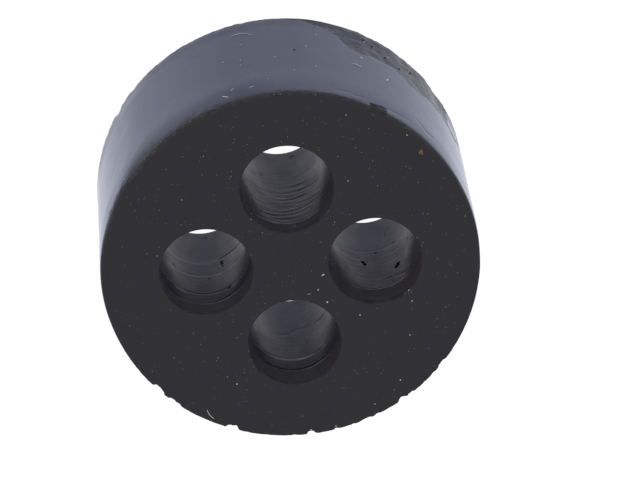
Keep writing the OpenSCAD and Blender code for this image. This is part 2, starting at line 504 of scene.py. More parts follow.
def bore_section(sizes):
    """Section of one bore, from the rear face to the front face, with close rows where rings show."""
    radius, height, mouth = sizes["bore_radius"], sizes["height"], sizes["mouth"]
    sharp = mouth / 4
    close_start, close_spacing = BORE_CLOSE_ROWS
    points = [(radius + mouth + d, 0.0) for d in BORE_RINGS]
    points += rounded((radius + sharp, sharp), sharp, 270, 180, steps=3)
    close = np.arange(close_start, height - mouth - 0.05, close_spacing)
    points += [(radius, z) for z in (*np.arange(*BORE_COARSE_ROWS), *close)]
    points += rounded((radius + mouth, height - mouth), mouth, 180, 90, steps=4)
    points += [(radius + mouth + d, height) for d in reversed(BORE_RINGS)]
    return points


def mesh_object(name, points, edges=(), faces=()):
    """A plain object at the origin, from points in mm."""
    mesh = bpy.data.meshes.new(name)
    mesh.from_pydata([tuple(c * MM for c in p) for p in points], edges, faces)
    made = bpy.data.objects.new(name, mesh)
    bpy.context.scene.collection.objects.link(made)
    return made


def new_tree(name, inputs):
    """An empty Geometry Nodes tree with named inputs, and its input sockets and output node."""
    tree = bpy.data.node_groups.new(name, "GeometryNodeTree")
    for title, kind in inputs.items():
        tree.interface.new_socket(title, in_out="INPUT", socket_type="NodeSocket" + kind)
    tree.interface.new_socket("Geometry", in_out="OUTPUT", socket_type="NodeSocketGeometry")
    return tree, tree.nodes.new("NodeGroupInput").outputs, tree.nodes.new("NodeGroupOutput")


def put(tree, kind, settings=None, **feeds):
    """Adds a node, sets its options, and feeds its inputs, named or numbered as i0, i1 and so on."""
    node = tree.nodes.new(kind)
    for option, value in (settings or {}).items():
        setattr(node, option, value)
    for key, value in feeds.items():
        numbered = key[0] == "i" and key[1:].isdigit()
        socket = node.inputs[int(key[1:]) if numbered else key.replace("_", " ")]
        if isinstance(value, bpy.types.NodeSocket):
            tree.links.new(value, socket)
        else:
            socket.default_value = value
    return node


def maths(tree, operation, first, second=0.0):
    """One arithmetic node's result."""
    return put(tree, "ShaderNodeMath", {"operation": operation}, i0=first, i1=second).outputs[0]


def times(tree, first, *others):
    """The product of several values."""
    for other in others:
        first = maths(tree, "MULTIPLY", first, other)
    return first


def span(tree, value, low_in, high_in, low_out, high_out):
    """Maps a value from one range to another, and holds it there."""
    ranges = {"From_Min": low_in, "From_Max": high_in, "To_Min": low_out, "To_Max": high_out}
    return put(tree, "ShaderNodeMapRange", Value=value, **ranges).outputs[0]


def shape_of(tree, holder):
    """The shape of an object that a tree is given."""
    return put(tree, "GeometryNodeObjectInfo", Object=holder).outputs["Geometry"]


def stored(tree, name, kind="FLOAT_VECTOR"):
    """A value that each point carries."""
    return put(tree, "GeometryNodeInputNamedAttribute", {"data_type": kind}, Name=name).outputs[0]


def level_of(tree, vector):
    """The upright part of a vector."""
    return put(tree, "ShaderNodeSeparateXYZ", Vector=vector).outputs["Z"]


def end_tree(tree, result, shape, material):
    """Makes a shape real, gives it its material, and ends the tree with it."""
    real = put(tree, "GeometryNodeRealizeInstances", Geometry=shape)
    painted = put(tree, "GeometryNodeSetMaterial", Geometry=real.outputs[0], Material=material)
    tree.links.new(painted.outputs[0], result.inputs[0])
    return tree


def grow(name, tree, values):
    """Runs a tree with the values of its inputs, and returns its result as a plain object."""
    host = mesh_object(name, [(0, 0, 0)])
    modifier = host.modifiers.new("grow", "NODES")
    modifier.node_group = tree
    for item in tree.interface.items_tree:
        if item.in_out == "INPUT" and item.name in values:
            modifier[item.identifier] = values[item.name]
    shown = host.evaluated_get(bpy.context.evaluated_depsgraph_get())
    mesh = bpy.data.meshes.new_from_object(shown)
    bpy.data.objects.remove(host)
    mesh.name = name
    paints = [material for material in mesh.materials if material]
    if len(paints) == 1:
        mesh.materials.clear()
        mesh.materials.append(paints[0])
        mesh.polygons.foreach_set("material_index", np.zeros(len(mesh.polygons), np.int32))
    made = bpy.data.objects.new(name, mesh)
    bpy.context.scene.collection.objects.link(made)
    return made


def turned_skin_tree():
    """Turns a section round an upright axis: a grid whose columns go round and whose rows follow it."""
    inputs = {
        "Section": "Object",
        "Columns": "Int",
        "Rows": "Int",
        "Centre": "Vector",
        "Crowding": "Float",
        "Faces the axis": "Bool",
        "Material": "Material",
    }
    tree, give, result = new_tree("turned skin", inputs)
    across = maths(tree, "ADD", give["Columns"], 1.0)
    grid = put(tree, "GeometryNodeMeshGrid", Vertices_X=across, Vertices_Y=give["Rows"])
    index = put(tree, "GeometryNodeInputIndex").outputs[0]
    column = maths(tree, "FLOOR", maths(tree, "DIVIDE", maths(tree, "ADD", index, 0.5), give["Rows"]))
    row = maths(tree, "SUBTRACT", index, times(tree, column, give["Rows"]))
    even = times(tree, maths(tree, "DIVIDE", column, give["Columns"]), 2 * math.pi)
    crowd = times(tree, maths(tree, "COSINE", even), give["Crowding"])
    angle = maths(tree, "SUBTRACT", even, crowd)
    sample = put(
        tree,
        "GeometryNodeSampleIndex",
        {"data_type": "FLOAT_VECTOR"},
        Geometry=shape_of(tree, give["Section"]),
        Value=put(tree, "GeometryNodeInputPosition").outputs[0],
        Index=row,
    )
    upright = {"rotation_type": "Z_AXIS"}
    turned = put(tree, "ShaderNodeVectorRotate", upright, Vector=sample.outputs[0], Angle=angle)
    place = put(tree, "ShaderNodeVectorMath", {"operation": "ADD"}, i0=turned.outputs[0], i1=give["Centre"])
    skin = put(tree, "GeometryNodeSetPosition", Geometry=grid.outputs["Mesh"], Position=place.outputs[0])
    skin = put(tree, "GeometryNodeMergeByDistance", Geometry=skin.outputs[0], Distance=WELD)
    skin = put(tree, "GeometryNodeFlipFaces", Mesh=skin.outputs[0], Selection=give["Faces the axis"])
    skin = put(tree, "GeometryNodeSetShadeSmooth", Geometry=skin.outputs[0])
    return end_tree(tree, result, skin.outputs[0], give["Material"])


def fill_end(tree, skins, edges, is_front, height):
    """One flat end face, filled between its open edges."""
    loops = put(tree, "GeometryNodeMeshToCurve", Mesh=skins, Selection=edges)
    filled = put(tree, "GeometryNodeFillCurve", Curve=loops.outputs[0]).outputs[0]
    if not is_front:
        return put(tree, "GeometryNodeFlipFaces", Mesh=filled).outputs[0]
    lift = put(tree, "ShaderNodeCombineXYZ", Z=height).outputs[0]
    return put(tree, "GeometryNodeSetPosition", Geometry=filled, Offset=lift).outputs[0]


def end_faces_tree():
    """Closes the turned skins with the two flat end faces, each filled between its rims."""
    inputs = {"Skins": "Collection", "Height": "Float", "Material": "Material"}
    tree, give, result = new_tree("end faces", inputs)
    skins = put(tree, "GeometryNodeCollectionInfo", Collection=give["Skins"]).outputs[0]
    skins = put(tree, "GeometryNodeRealizeInstances", Geometry=skins).outputs[0]
    faces_by_edge = put(tree, "GeometryNodeInputMeshEdgeNeighbors").outputs[0]
    open_edge = maths(tree, "LESS_THAN", faces_by_edge, 1.5)
    level = level_of(tree, put(tree, "GeometryNodeInputPosition").outputs[0])
    upper = maths(tree, "GREATER_THAN", level, times(tree, give["Height"], 0.5))
    both = put(tree, "GeometryNodeJoinGeometry")
    for is_front in (False, True):
        side = upper if is_front else maths(tree, "SUBTRACT", 1.0, upper)
        end = fill_end(tree, skins, times(tree, open_edge, side), is_front, give["Height"])
        tree.links.new(end, both.inputs[0])
    ends = put(tree, "GeometryNodeSetMaterial", Geometry=both.outputs[0], Material=give["Material"])
    ends = put(tree, "GeometryNodeSetShadeSmooth", Geometry=ends.outputs[0])
    whole = put(tree, "GeometryNodeJoinGeometry")
    tree.links.new(ends.outputs[0], whole.inputs[0])
    tree.links.new(skins, whole.inputs[0])
    welded = put(tree, "GeometryNodeMergeByDistance", Geometry=whole.outputs[0], Distance=WELD)
    tree.links.new(welded.outputs[0], result.inputs[0])
    return tree


def make_moulding(sizes, finishes):
    """The whole plug as one closed mesh, before any wear."""
    turned = turned_skin_tree()
    skins = bpy.data.collections.new("skins")
    jobs = [("plug_skin", plug_section(sizes), PLUG_COLUMNS, Vector(), False, "wall")]
    for name, centre in sizes["bores"].items():
        middle = Vector((centre.x, centre.y, 0)) * MM
        jobs.append((name, bore_section(sizes), BORE_COLUMNS, middle, True, "bore"))
    for name, section, columns, centre, faces_axis, finish in jobs:
        line = mesh_object(name + "_section", [(r, 0, z) for r, z in section])
        values = {
            "Section": line,
            "Columns": columns,
            "Rows": len(section),
            "Centre": tuple(centre),
            "Crowding": BORE_CROWDING if faces_axis else 0.0,
            "Faces the axis": faces_axis,
            "Material": finishes[finish],
        }
        skin = grow(name, turned, values)
        bpy.data.objects.remove(line)
        skins.objects.link(skin)
    values = {"Skins": skins, "Height": sizes["height"] * MM, "Material": finishes["face"]}
    plug = grow("rubber_plug", end_faces_tree(), values)
    for skin in list(skins.objects):
        bpy.data.objects.remove(skin)
    bpy.data.collections.remove(skins)
    return plug


def mesh_points(mesh):
    """All the points of a mesh, in mm."""
    flat = np.empty(len(mesh.vertices) * 3)
    mesh.vertices.foreach_get("co", flat)
    return flat.reshape(-1, 3) / MM


def set_mesh_points(mesh, points):
    """Writes points in mm back to their mesh."""
    mesh.vertices.foreach_set("co", (points * MM).ravel())
    mesh.update()


def polygon_vectors(mesh, field):
    """One vector for each polygon of a mesh: its centre or its normal."""
    flat = np.empty(len(mesh.polygons) * 3)
    mesh.polygons.foreach_get(field, flat)
    return flat.reshape(-1, 3)


def grain(points, size, octaves, shift):
    """Smooth noise between about -1 and 1 at each point, for a grain of that size in mm."""
    offset = Vector((shift, shift * 0.7, -shift))
    return np.array([noise.fractal(Vector(p) / size + offset, 1.0, 2.0, octaves) for p in points])


def ease(x):
    """A soft step from 0 to 1."""
    x = np.clip(x, 0.0, 1.0)
    return x * x * (3 - 2 * x)


def azimuth_of(points):
    """Azimuth of each point about the axis, from 0 to 360 degrees."""
    return np.degrees(np.arctan2(points[:, 1], points[:, 0])) % 360


def axis_distance(points):
    """Distance of each point from the axis."""
    return np.hypot(points[:, 0], points[:, 1])


def to_polar(points):
    """Distance from the axis, azimuth and height of each point."""
    return axis_distance(points), azimuth_of(points), points[:, 2]


def from_polar(r, azimuth, z):
    """Points from their distance from the axis, azimuth and height."""
    turn = np.radians(azimuth)
    return np.column_stack([r * np.cos(turn), r * np.sin(turn), z])


def along_rim(azimuth, z, radius, stretch=0.08):
    """Places at which a rim's noise is read: it is drawn out along the height."""
    return from_polar(radius, azimuth, stretch * z * radius)


def turn_between(azimuth, centre):
    """Signed difference of two azimuths, in degrees."""
    return (azimuth - centre + 180) % 360 - 180


def hump(azimuth, centre, half_width):
    """1 at an azimuth, falling softly to 0 on both sides of it."""
    return np.exp(-((turn_between(azimuth, centre) / half_width) ** 2))


def nearness(below, reach):
    """1 at a face, falling to 0 at reach below it."""
    return np.clip((reach - below) / reach, 0, 1)


def shave(r, z, radius, depth, reach):
    """Pushes section points back to a slanted cut that starts depth inside the rim, at z 0.

    z is how far a point lies below the face, and the cut meets the wall at reach below it.
    """
    length = np.hypot(depth, reach)
    out = ((r - (radius - depth)) * reach - z * depth) / length
    out = np.where(depth > 1e-6, np.maximum(out, 0.0), 0.0)
    return r - out * reach / length, z + out * depth / length


def tear_depth(azimuth, tears, radius):
    """How deep the rim is torn at each azimuth, in mm."""
    depth = np.zeros(len(azimuth))
    for centre, width, deep in tears:
        across = np.radians(turn_between(azimuth, centre)) * radius
        flank = 0.1 + 0.15 * width
        profile = ease((width / 2 + flank / 2 - np.abs(across)) / flank)
        depth = np.maximum(depth, deep * profile * (0.85 + 0.15 * across / width))
    return depth


def read_round(azimuth, table):
    """Values from a table of azimuths, read at each azimuth all the way round."""
    degrees, values = zip(*table)
    return np.interp(azimuth, degrees, values, period=360)


def groove_depth(azimuth, z, radius, path, width, depth):
    """Depth of a groove along a path of azimuths and heights, at each point of a round wall."""
    deep = np.zeros(len(z))
    for (a0, z0), (a1, z1) in zip(path, path[1:]):
        across = np.radians(turn_between(azimuth, a0)) * radius
        up = z - z0
        run = math.radians(a1 - a0) * radius
        rise = z1 - z0
        share = np.clip((across * run + up * rise) / (run * run + rise * rise), 0, 1)
        away = np.hypot(across - share * run, up - share * rise)
        deep = np.maximum(deep, depth * ease(1 - away / width))
    return deep


def sharpen_front_edge(points, sizes):
    """Fills out the moulded rounding of the front edge where the photograph shows a crisper one."""
    edge = sizes["front_edge"]
    inner, lower = sizes["radius"] - edge, sizes["height"] - edge
    round_part = (axis_distance(points) > inner) & (points[:, 2] > lower)
    r, azimuth, z = to_polar(points[round_part])
    out, up = (r - inner) / edge, (z - lower) / edge
    fill = 1 + read_round(azimuth, FRONT_CRISP) * (1 / np.maximum(out, up) - 1)
    points[round_part] = from_polar(inner + edge * out * fill, azimuth, lower + edge * up * fill)


def wall_waves(part, azimuth, z, height):
    """How far the wall stands in at each point: a faint waist, a fine grain and soft waves."""
    waist = 1 - hump(azimuth, *WAIST_GAP)
    sink = WAIST_DEPTH * waist * ease(z / 1.2) * ease((height - 1.4 - z) / 2.5)
    coarse, fine = WALL_GRAIN
    sink += coarse * (1 + grain(part * (1, 1, 0.1), size=2.4, octaves=2, shift=21.0))
    sink += fine * grain(part, size=0.7, octaves=2, shift=22.0)
    between_rims = ease(z / 1.5) * ease((height - z) / 1.0)
    for centre, half_width, rise in WALL_WAVES:
        sink -= rise * hump(azimuth, centre, half_width) * between_rims
    return sink


def front_wear(azimuth, z, radius, height):
    """How far the wall is worn back by its front edge: rounded off, rubbed and ragged."""
    below = height - z
    sink = read_round(azimuth, FRONT_ROUNDING) * nearness(below, ROUNDING_HEIGHT) ** 2.2
    at_edge = nearness(below, EDGE_HEIGHT)
    sink += read_round(azimuth, FRONT_EDGE) * (1 - np.sqrt(1 - at_edge * at_edge))
    rough = grain(along_rim(azimuth, z, radius), size=0.3, octaves=3, shift=7.0)
    bites = np.clip(1.6 * rough + 0.5, 0, 1.6)
    return sink + read_round(azimuth, FRONT_RAGGED) * bites * nearness(below, RAGGED_HEIGHT) ** 1.5


def wear_wall(points, sizes):
    """Soft waves, a faint waist, creases and the worn front edge of the outer wall."""
    radius, height = sizes["radius"], sizes["height"]
    skin = axis_distance(points) > radius - SKIN_DEPTH
    part = points[skin]
    r, azimuth, z = to_polar(part)
    sink = wall_waves(part, azimuth, z, height)
    for path, width, depth in CREASES:
        sink += groove_depth(azimuth, z, radius, path, width, depth)
    sink += front_wear(azimuth, z, radius, height)
    share = np.clip((r - radius + SKIN_DEPTH) / (SKIN_DEPTH * 0.6), 0, 1)
    points[skin] = from_polar(r - np.maximum(sink, -MOST_BULGE) * share, azimuth, z)


def wear_front_rim(points, sizes):
    """Tears in the front rim, where flash took some rubber with it."""
    radius, height = sizes["radius"], sizes["height"]
    rim = (axis_distance(points) > radius - RIM_WIDTH) & (points[:, 2] > height - 1.2)
    r, azimuth, z = to_polar(points[rim])
    rough = grain(along_rim(azimuth, z, radius, stretch=0), size=0.25, octaves=2, shift=3.0)
    torn = tear_depth(azimuth, FRONT_TEARS, radius) * (1 + 0.25 * rough)
    new_r, new_below = shave(r, height - z, radius, torn, TEAR_HEIGHT)
    points[rim] = from_polar(new_r, azimuth, height - new_below)


def wear_rear_rim(points, sizes):
    """The dent and the fine nicks of the rear rim."""
    radius = sizes["radius"]
    rim = (axis_distance(points) > radius - RIM_WIDTH) & (points[:, 2] < 1.0)
    r, azimuth, z = to_polar(points[rim])
    rough = grain(along_rim(azimuth, z, radius), size=0.3, octaves=3, shift=27.0)
    bites = np.clip(1.2 * rough + 0.45, 0, 1.5)
    near_face = nearness(z, RAGGED_HEIGHT) * np.clip((r - radius + RIM_WIDTH) / 0.3, 0, 1)
    r = r - read_round(azimuth, REAR_RAGGED) * bites * near_face**1.5
    torn = tear_depth(azimuth, REAR_TEARS, radius)
    new_r, new_z = shave(r, z, radius, torn, TEAR_HEIGHT)
    points[rim] = from_polar(new_r, azimuth, new_z)


def torn_height(points, azimuth):
    """How high the torn stretch of the rear rim reaches at each point, in mm."""
    top = read_round(azimuth, TORN_BAND)
    ragged = 0.16 * grain(points * (1, 1, 0.15), size=0.6, octaves=3, shift=1.0)
    return np.where(top > 0, top + ragged, 0)


def wear_torn_band(points, sizes):
    """The stretch of the wall by the rear rim where flash was pulled off: a step and a rough skin."""
    near = (axis_distance(points) > sizes["radius"] - 0.2) & (points[:, 2] < 4.2)
    near &= read_round(azimuth_of(points), TORN_BAND) > 0
    part = points[near]
    r, azimuth, z = to_polar(part)
    top = torn_height(part, azimuth)
    up = np.clip(z / np.maximum(top, 0.1), 0, 1)
    coarse, fine = TORN_GRAIN
    rough = coarse * grain(part * (1, 1, 0.7), size=0.5, octaves=3, shift=5.0)
    rough += fine * grain(part, size=0.15, octaves=2, shift=9.0)
    sink = TORN_STEP * up + read_round(azimuth, TORN_DEPTH) * (1 - up) + rough * ease(z / 0.3)
    points[near] = from_polar(r - np.maximum(sink, 0) * ease((top - z) / 0.22), azimuth, z)


def flare_depth(z, flares):
    """How far a bore narrows at each height, from each step up to where its flare ends, in mm."""
    inward = np.zeros(len(z))
    for foot, end, step in flares:
        inward = np.where((z >= foot) & (z <= end), step * (end - z) / (end - foot), inward)
    return inward


def pit_depth(azimuth, z, radius, pits):
    """Depth of the pits at each point of a bore."""
    deep = np.zeros(len(z))
    for centre, height, size in pits:
        across = np.radians(turn_between(azimuth, centre)) * radius
        away = np.hypot(across * PIT_STRETCH, (z - height) / PIT_STRETCH)
        deep = np.maximum(deep, 1.4 * size * ease(1.25 - away / size))
    return deep


def bore_wear(part, name, number, sizes):
    """How far a bore's skin stands out: draft, flares, turned lines, rings, scores and pits."""
    radius, height = sizes["bore_radius"], sizes["height"]
    azimuth, z = azimuth_of(part), part[:, 2]
    out = -flare_depth(z, FLARES[name]) - BORE_DRAFT * (1 - np.clip(z / height, 0, 1) ** 1.5)
    lines = grain(part * (0.12, 0.12, 1), size=0.17, octaves=2, shift=31.0 + number)
    drifts = grain(part * (1, 1, 0.5), size=1.3, octaves=2, shift=11.0 + number)
    out += TURNED_LINES[name] * lines * np.clip(0.6 + drifts, 0, 1.3) * ease((z - 3.2) / 1.4)
    for path, width, depth in BORE_MARKS[name]:
        out += groove_depth(azimuth, z, radius, path, width, depth)
    return out + pit_depth(azimuth, z, radius, PITS[name])


def mouth_chips(part, number, sizes):
    """How far a bore's front mouth is chipped, on the side that the photograph shows."""
    rough = grain(part * (1, 1, 0), size=0.35, octaves=3, shift=51.0 + number)
    shown_side = np.clip(0.1 - np.sin(np.radians(azimuth_of(part))), 0, 1)
    at_mouth = ease((part[:, 2] - sizes["height"] + 0.3) / 0.3)
    return CHIP_DEPTH * np.clip(1.4 * rough + 0.05, 0, 1) * shown_side * at_mouth


def wear_bores(points, sizes):
    """Flares, rings, scores, turned lines and pits in the bores, and their slightly chipped mouths."""
    reach = sizes["bore_radius"] + sizes["mouth"] + 0.06
    for number, (name, centre) in enumerate(sizes["bores"].items()):
        middle = (centre.x, centre.y, 0)
        away = points - middle
        inside = axis_distance(away) < reach
        part = away[inside]
        r, azimuth, z = to_polar(part)
        out = bore_wear(part, name, number, sizes) + mouth_chips(part, number, sizes)
        out *= np.clip((reach - r) / 0.1, 0, 1)
        points[inside] = from_polar(r + out, azimuth, z) + middle


def take_finishes(mesh, finishes):
    """Puts all the finishes on a mesh, and returns each polygon's number in their list."""
    slots = np.empty(len(mesh.polygons), int)
    mesh.polygons.foreach_get("material_index", slots)
    names = [finish.name for finish in finishes.values()]
    numbers = [names.index(m.name) if m else 0 for m in mesh.materials]
    mesh.materials.clear()
    for finish in finishes.values():
        mesh.materials.append(finish)
    return np.array(numbers)[slots]


def paint_rims(slots, number, centres, sizes):
    """The worn front rim, the torn stretch of the rear rim, its frayed edge, and the tears."""
    radius = sizes["radius"]
    r, azimuth, z = to_polar(centres)
    below = sizes["height"] - z
    wall = slots == number["wall"]
    rub = read_round(azimuth, FRONT_ROUNDING) * 3.0 + 0.04
    rub *= 1 + 1.1 * grain(centres * (1, 1, 0.4), size=0.3, octaves=3, shift=15.0)
    slots[wall & (below < rub)] = number["worn"]
    slots[(below < 0.1) & (r > radius - 0.45 * rub) & (rub > 0.2)] = number["worn"]
    top = torn_height(centres, azimuth)
    gloss_end = GLOSS_END + 3.0 * grain(centres, size=0.5, octaves=2, shift=21.0)
    glossy = (azimuth < gloss_end) & (z < top - DARK_LINE)
    slots[wall & (z < top - 0.04) & ~glossy] = number["scuffed"]
    fray = 0.07 + 0.12 * np.clip(top, 0, 3)
    fray += 0.2 * grain(centres * (1, 1, 0.5), size=0.5, octaves=2, shift=17.0)
    slots[wall & (z < fray) & (read_round(azimuth, REAR_RAGGED) > 0)] = number["worn"]
    tear = tear_depth(azimuth, FRONT_TEARS, radius) > 0.05
    tear &= (below < TEAR_HEIGHT) & (below > 0.004) & (r > radius - 0.4) & (r < radius - 0.01)
    slots[tear] = number["torn"]


def paint_bores(slots, number, centres, sizes):
    """The mouths and the dull spots of the bores, and the painted shade inside their pits."""
    bore = slots == number["bore"]
    for name, centre in sizes["bores"].items():
        away = centres - (centre.x, centre.y, 0)
        r, azimuth, z = to_polar(away)
        near = r < sizes["bore_radius"] + 0.3
        last_flare = FLARES[name][-1][0]
        slots[near & bore & (z > last_flare)] = number["mouth"]
        dull = pit_depth(azimuth, z, sizes["bore_radius"], DULL_SPOTS[name])
        slots[near & bore & (dull > SPOT_LEAST)] = number["mouth"]
        deep = pit_depth(azimuth, z, sizes["bore_radius"], PITS[name])
        # Painted shade: the inside of each pit gets the near-black pit finish
        slots[near & (deep > SPOT_LEAST)] = number["pit_shade"]


def paint_regions(mesh, sizes, finishes):
    """Gives each polygon its finish: the flat faces, the worn rims, the torn places, and painted shade in
    the pits.
    """
    number = {key: i for i, key in enumerate(finishes)}
    slots = take_finishes(mesh, finishes)
    centres = polygon_vectors(mesh, "center") / MM
    upright = np.abs(polygon_vectors(mesh, "normal")[:, 2])
    outer = axis_distance(centres) > sizes["radius"] - 0.45
    slots[(upright > 0.35) & ~outer] = number["face"]
    slots[(upright > 0.8) & outer] = number["face"]
    paint_rims(slots, number, centres, sizes)
    paint_bores(slots, number, centres, sizes)
    mesh.polygons.foreach_set("material_index", slots.astype(np.int32))


def wear_plug(plug, sizes, finishes):
    """All the wear of the one moulding, as vertex moves."""
    points = mesh_points(plug.data)
    for wear in (sharpen_front_edge, wear_wall, wear_torn_band, wear_front_rim, wear_rear_rim, wear_bores):
        wear(points, sizes)
    set_mesh_points(plug.data, points)
    paint_regions(plug.data, sizes, finishes)
    plug.data.shade_smooth()


def ball_copies(tree, points, subdivisions, scale, turn):
    """A small ball on every point, with its own scale and turn."""
    ball = put(tree, "GeometryNodeMeshIcoSphere", Radius=1.0, Subdivisions=subdivisions).outputs["Mesh"]
    feeds = {"Points": points, "Instance": ball, "Scale": scale, "Rotation": turn}
    return put(tree, "GeometryNodeInstanceOnPoints", **feeds).outputs[0]


def dust_tree():
    """Strews flattened grains over a piece, in drifts, all but its rear face."""
    inputs = {
        "Ground": "Object",
        "Seed": "Int",
        "Density": "Float",
        "Smallest": "Float",
        "Material": "Material",
    }
    tree, give, result = new_tree("dust", inputs)
    facing = level_of(tree, put(tree, "GeometryNodeInputNormal").outputs[0])
    place = put(tree, "GeometryNodeInputPosition").outputs[0]
    drifts = put(tree, "ShaderNodeTexNoise", Vector=place, Scale=1 / (DRIFT_SIZE * MM), Detail=2.0)
    thick = span(tree, drifts.outputs["Fac"], 0.35, 0.65, 0.3, 1.7)
    settled = span(tree, facing, 0, 1, 0.22, 1.0)
    dirty = times(tree, thick, settled, stored(tree, "settle", "FLOAT"), give["Density"])
    upper = maths(tree, "GREATER_THAN", level_of(tree, place), CLEAN_HEIGHT * MM)
    open_side = times(tree, upper, maths(tree, "GREATER_THAN", facing, -0.5))
    spread = put(
        tree,
        "GeometryNodeDistributePointsOnFaces",
        {"distribute_method": "RANDOM"},
        Mesh=shape_of(tree, give["Ground"]),
        Selection=open_side,
        Density=dirty,
        Seed=give["Seed"],
    )
    draw = put(tree, "FunctionNodeRandomValue", {"data_type": "FLOAT"}, Seed=give["Seed"])
    rarity = span(tree, draw.outputs[1], 0, 1, 0.12, 1.0)
    size = times(tree, maths(tree, "POWER", rarity, -0.39), give["Smallest"])
    flat = maths(tree, "MINIMUM", size, 0.009 * MM)
    scale = put(tree, "ShaderNodeCombineXYZ", X=times(tree, size, 1.25), Y=size, Z=flat).outputs[0]
    grains = ball_copies(tree, spread.outputs["Points"], 1, scale, spread.outputs["Rotation"])
    return end_tree(tree, result, grains, give["Material"])


def placed_specks_tree():
    """Sets one small flake on each point of a piece, by the size and turn that the point carries."""
    tree, give, result = new_tree("placed specks", {"Places": "Object", "Material": "Material"})
    places = shape_of(tree, give["Places"])
    flakes = ball_copies(tree, places, 2, stored(tree, "size"), stored(tree, "turn"))
    return end_tree(tree, result, flakes, give["Material"])


def lint_tree():
    """Turns a piece's polylines into round, smoothly bent fibres, by the thickness of their points."""
    tree, give, result = new_tree("lint", {"Paths": "Object", "Material": "Material"})
    lines = put(tree, "GeometryNodeMeshToCurve", Mesh=shape_of(tree, give["Paths"]))
    bent = put(tree, "GeometryNodeCurveSplineType", {"spline_type": "CATMULL_ROM"}, Curve=lines.outputs[0])
    fine = put(tree, "GeometryNodeResampleCurve", Curve=bent.outputs[0], Count=12)
    ring = put(tree, "GeometryNodeCurvePrimitiveCircle", Radius=1.0, Resolution=6)
    fibre = put(tree, "GeometryNodeCurveToMesh", Curve=fine.outputs[0], Profile_Curve=ring.outputs[0])
    fibre.inputs["Fill Caps"].default_value = True
    tree.links.new(stored(tree, "thick", "FLOAT"), fibre.inputs["Scale"])
    return end_tree(tree, result, fibre.outputs[0], give["Material"])


def give_points(mesh, name, kind, values):
    """Stores one value per point of a mesh."""
    held = mesh.attributes.new(name, kind, "POINT")
    field = "value" if kind == "FLOAT" else "vector"
    held.data.foreach_set(field, np.array(values, float).ravel())


def on_cylinder(azimuth, z, radius):
    """A place in mm from its azimuth, height and distance from the axis."""
    turn = math.radians(azimuth)
    return (radius * math.cos(turn), radius * math.sin(turn), z)


def set_specks(name, tree, sizes, material, on_face=(), on_wall=()):
    """A piece of flakes placed one by one on the front face and the wall."""
    places, scales, turns = [], [], []
    thin = DUST_ROOM / 2
    for x, y, length, width, turn in on_face:
        places.append((x, y, sizes["height"]))
        scales.append((length / 2, width / 2, thin))
        turns.append((0.0, 0.0, math.radians(turn)))
    for azimuth, z, length, width, turn in on_wall:
        places.append(on_cylinder(azimuth, z, sizes["radius"] - WALL_SPECK_DEPTH))
        scales.append((length / 2, width / 2, 2 * thin))
        lie = Euler((math.pi / 2, 0, math.pi / 2 + math.radians(azimuth))).to_matrix()
        turns.append(tuple((lie @ Matrix.Rotation(math.radians(turn), 3, "Z")).to_euler()))
    points = mesh_object(name + "_places", places)
    give_points(points.data, "size", "FLOAT_VECTOR", np.array(scales) * MM)
    give_points(points.data, "turn", "FLOAT_VECTOR", turns)
    specks = grow(name, tree, {"Places": points, "Material": material})
    bpy.data.objects.remove(points)
    return specks


def set_lint(name, tree, fibres, material):
    """A piece of loose fibres that lie along given paths."""
    points, edges, thick = [], [], []
    for path, thickness in fibres:
        first = len(points)
        points += [on_cylinder(*knot) for knot in path]
        edges += [(first + i, first + i + 1) for i in range(len(path) - 1)]
        thick += [thickness / 2 * MM] * len(path)
    lines = mesh_object(name + "_paths", points, edges)
    give_points(lines.data, "thick", "FLOAT", thick)
    lint = grow(name, tree, {"Paths": lines, "Material": material})
    bpy.data.objects.remove(lines)
    return lint


def settle_weights(points, sizes):
    """How much more dust than elsewhere gathers at each point: along the rims of the front face."""
    weights = np.ones(len(points))
    near_face = ease((points[:, 2] - sizes["height"] + 0.3) / 0.2)
    patchy = np.clip(0.6 + 1.5 * grain(points * (1, 1, 0), size=0.9, octaves=2, shift=41.0), 0, 2)
    for centre in sizes["bores"].values():
        away = axis_distance(points - (centre.x, centre.y, 0)) - sizes["bore_radius"]
        weights += 4.0 * np.exp(-(((away - 0.12) / 0.25) ** 2)) * near_face * patchy
    out = axis_distance(points) - sizes["radius"]
    return weights + 1.5 * ease((out + 0.3) / 0.2) * near_face


def fine_specks(draw):
    """The finer specks of the front face, with lengths, widths and turns drawn at random."""
    return [
        (x, y, draw.uniform(*FINE_LENGTH), draw.uniform(*FINE_WIDTH), draw.uniform(0, 180))
        for x, y in FINE_SPECKS
    ]


def scatter_dirt(plug, sizes):
    """All the loose dirt on the plug: dust, grit, flakes, rust and lint, and near-black flakes of painted
    shade in the wall's pits.
    """
    give_points(plug.data, "settle", "FLOAT", settle_weights(mesh_points(plug.data), sizes))
    pale, dark, rust, beige = (plain_dirt(name, *look) for name, look in DIRT_LOOKS.items())
    dust, specks, lint = dust_tree(), placed_specks_tree(), lint_tree()
    loose = [
        grow("dust", dust, {"Ground": plug, "Material": pale, **DUST}),
        grow("grit", dust, {"Ground": plug, "Material": dark, **GRIT}),
    ]
    plug.data.attributes.remove(plug.data.attributes["settle"])
    on_face = (*FACE_SPECKS, *fine_specks(random.Random(FINE_SEED)))
    return loose + [
        set_specks("flakes", specks, sizes, pale, on_face, WALL_SPECKS),
        set_specks("rust_grains", specks, sizes, rust, RUST_SPECKS),
        # Painted shade: near-black flakes where the wall has small pits
        set_specks("black_grains", specks, sizes, dark, (), PIT_SHADE_SPECKS),
        set_lint("pale_lint", lint, PALE_LINT, pale),
        set_lint("beige_lint", lint, BEIGE_LINT, beige),
    ]


